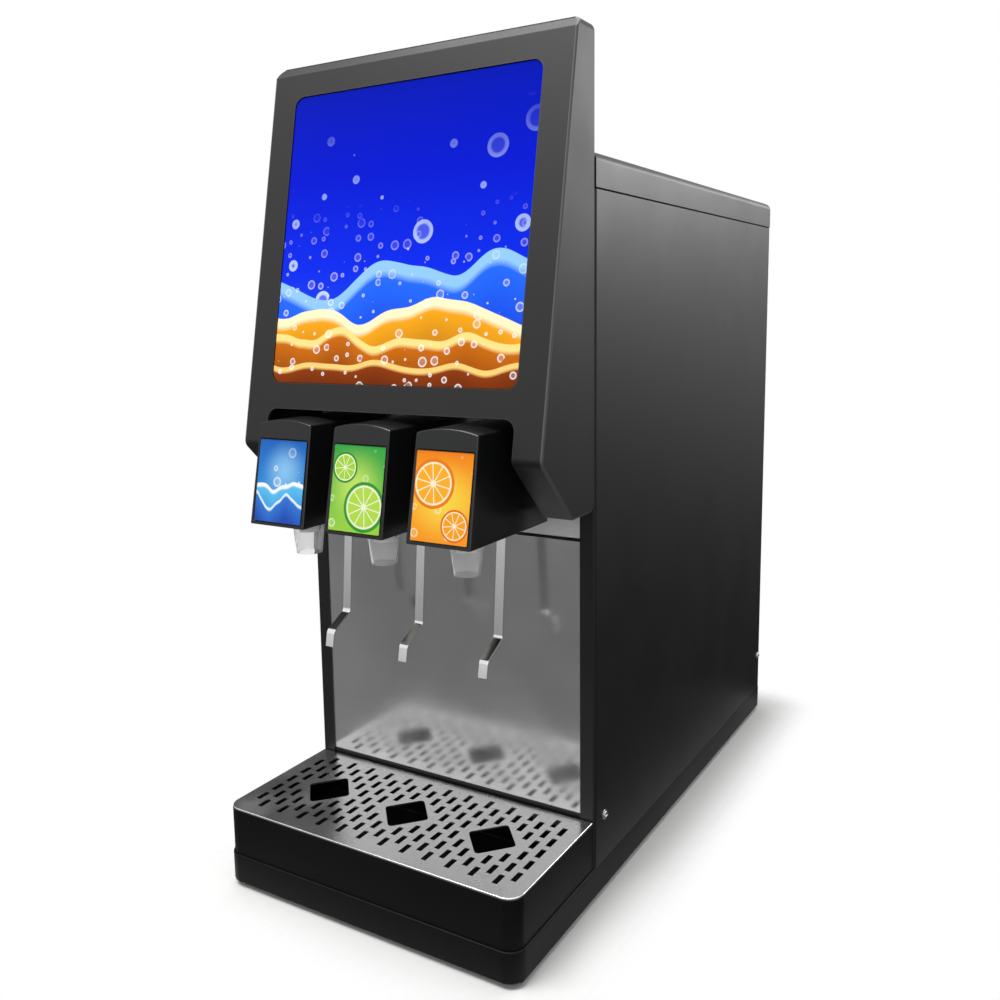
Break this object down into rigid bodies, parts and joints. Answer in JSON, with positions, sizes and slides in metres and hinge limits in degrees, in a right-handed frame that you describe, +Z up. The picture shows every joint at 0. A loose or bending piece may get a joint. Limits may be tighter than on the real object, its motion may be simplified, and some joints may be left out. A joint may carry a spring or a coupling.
{
  "type": "soda fountain dispenser",
  "caption": "Countertop post-mix soda dispenser: leaning backlit head, push-lever valves with clear nozzles, stainless splash and a slotted drip grate over a pull-out tray.",
  "frame": {"origin": "centre of the footprint at the underside of the feet", "axes": "+Z up, -Y towards the user, +X to the user's right"},
  "size_m": [0.32, 0.686, 0.7715],
  "materials": {
    "black_paint": "satin powder coat",
    "black_abs": "satin moulded",
    "rubber": "matt",
    "polished_stainless": "polished",
    "hood_abs": "fine texture",
    "display_acrylic": "gloss, backlit print",
    "lamp": "diffuse",
    "galvanised": "zinc",
    "label_blue": "printed",
    "label_green": "printed",
    "label_orange": "printed",
    "acetal": "moulded",
    "clear_plastic": "clear moulded",
    "button_red": "moulded",
    "motor_grey": "enamel",
    "foam": "moulded shell",
    "hose": "extruded",
    "copper": "bright copper",
    "brass": "turned"
  },
  "bodies": {
    "cabinet": {"plinth": "black_abs", "rubber_feet": "rubber", "side_panel_left": "black_paint", "side_panel_right": "black_paint", "rear_panel": "black_paint", "front_sill": "black_paint", "splash_panel": "polished_stainless", "valve_plate": "polished_stainless", "hood": "hood_abs", "display_panel": "display_acrylic", "light_panel": "lamp", "light_box": "galvanised", "hood_back_plate": "black_paint", "valve_cover_left": "black_abs", "valve_cover_centre": "black_abs", "valve_cover_right": "black_abs", "flavour_label_left": "label_blue", "flavour_label_centre": "label_green", "flavour_label_right": "label_orange", "valve_body_left": "acetal", "valve_body_centre": "acetal", "valve_body_right": "acetal", "solenoids": "motor_grey", "diffusers": "acetal", "lever_pins": "polished_stainless", "microswitches": "black_abs", "bath_shelf": "galvanised", "bath_tank": "foam", "product_hoses": "hose", "evaporator_coil": "copper", "product_coils": "polished_stainless", "carbonator": "polished_stainless", "agitator_bridge": "galvanised", "agitator_motor": "motor_grey", "compressor": "black_paint", "compressor_grommets": "rubber", "condenser": "copper", "refrigerant_lines": "copper", "fan_shroud": "galvanised", "fan_motor": "motor_grey", "carbonator_pump": "motor_grey", "power_supply": "galvanised", "inlet_fittings": "brass", "cord_gland": "black_abs", "switch_housing": "black_abs"},
    "lid": {"top_lid": "black_paint"},
    "drip_tray": {"drip_tray": "black_abs"},
    "drip_grate": {"drip_grate": "polished_stainless"},
    "fan": {"fan_blade": "black_abs"},
    "agitator": {"agitator": "polished_stainless"},
    "rocker": {"power_switch": "button_red"},
    "lever_left": {"lever_left": "polished_stainless"},
    "button_left": {"switch_button_left": "button_red"},
    "nozzle_left": {"nozzle_left": "clear_plastic"},
    "lever_centre": {"lever_centre": "polished_stainless"},
    "button_centre": {"switch_button_centre": "button_red"},
    "nozzle_centre": {"nozzle_centre": "clear_plastic"},
    "lever_right": {"lever_right": "polished_stainless"},
    "button_right": {"switch_button_right": "button_red"},
    "nozzle_right": {"nozzle_right": "clear_plastic"}
  },
  "joints": [
    {"name": "lid_lift", "type": "slide", "parent": "cabinet", "child": "lid", "axis": [0, 0, 1], "range_m": [0, 0.15]},
    {"name": "tray_pull", "type": "slide", "parent": "cabinet", "child": "drip_tray", "axis": [0, -1, 0], "range_m": [0, 0.15]},
    {"name": "grate_lift", "type": "slide", "parent": "drip_tray", "child": "drip_grate", "axis": [0, 0, 1], "range_m": [0, 0.12]},
    {"name": "lever_left_push", "type": "hinge", "parent": "cabinet", "child": "lever_left", "pos_m": [-0.0857, -0.231, 0.3645], "axis": [1, 0, 0], "range_deg": [0, 14], "stiffness_Nm_per_rad": 0.06, "springref_deg": -5.73},
    {"name": "button_left_press", "type": "slide", "parent": "cabinet", "child": "button_left", "axis": [0, -1, 0], "range_m": [0, 0.0036]},
    {"name": "nozzle_left_twist", "type": "hinge", "parent": "cabinet", "child": "nozzle_left", "pos_m": [-0.0857, -0.2905, 0.34], "axis": [0, 0, 1], "range_deg": [0, 45]},
    {"name": "lever_centre_push", "type": "hinge", "parent": "cabinet", "child": "lever_centre", "pos_m": [0, -0.231, 0.3645], "axis": [1, 0, 0], "range_deg": [0, 14], "stiffness_Nm_per_rad": 0.06, "springref_deg": -5.73},
    {"name": "button_centre_press", "type": "slide", "parent": "cabinet", "child": "button_centre", "axis": [0, -1, 0], "range_m": [0, 0.0036]},
    {"name": "nozzle_centre_twist", "type": "hinge", "parent": "cabinet", "child": "nozzle_centre", "pos_m": [0, -0.2905, 0.34], "axis": [0, 0, 1], "range_deg": [0, 45]},
    {"name": "lever_right_push", "type": "hinge", "parent": "cabinet", "child": "lever_right", "pos_m": [0.0857, -0.231, 0.3645], "axis": [1, 0, 0], "range_deg": [0, 14], "stiffness_Nm_per_rad": 0.06, "springref_deg": -5.73},
    {"name": "button_right_press", "type": "slide", "parent": "cabinet", "child": "button_right", "axis": [0, -1, 0], "range_m": [0, 0.0036]},
    {"name": "nozzle_right_twist", "type": "hinge", "parent": "cabinet", "child": "nozzle_right", "pos_m": [0.0857, -0.2905, 0.34], "axis": [0, 0, 1], "range_deg": [0, 45]},
    {"name": "fan_spin", "type": "hinge", "parent": "cabinet", "child": "fan", "pos_m": [0.076, 0.216, 0.1025], "axis": [0, 1, 0], "continuous": true},
    {"name": "agitator_spin", "type": "hinge", "parent": "cabinet", "child": "agitator", "pos_m": [0.056, 0.03, 0.45], "axis": [0, 0, 1], "continuous": true},
    {"name": "rocker_tilt", "type": "hinge", "parent": "cabinet", "child": "rocker", "pos_m": [0.112, 0.3225, 0.358], "axis": [1, 0, 0], "range_deg": [0, 16]}
  ],
  "couplings": [
    {"joint": "button_left_press", "follows": "lever_left_push", "m_per_rad": 0.0142},
    {"joint": "button_centre_press", "follows": "lever_centre_push", "m_per_rad": 0.0142},
    {"joint": "button_right_press", "follows": "lever_right_push", "m_per_rad": 0.0142}
  ]
}
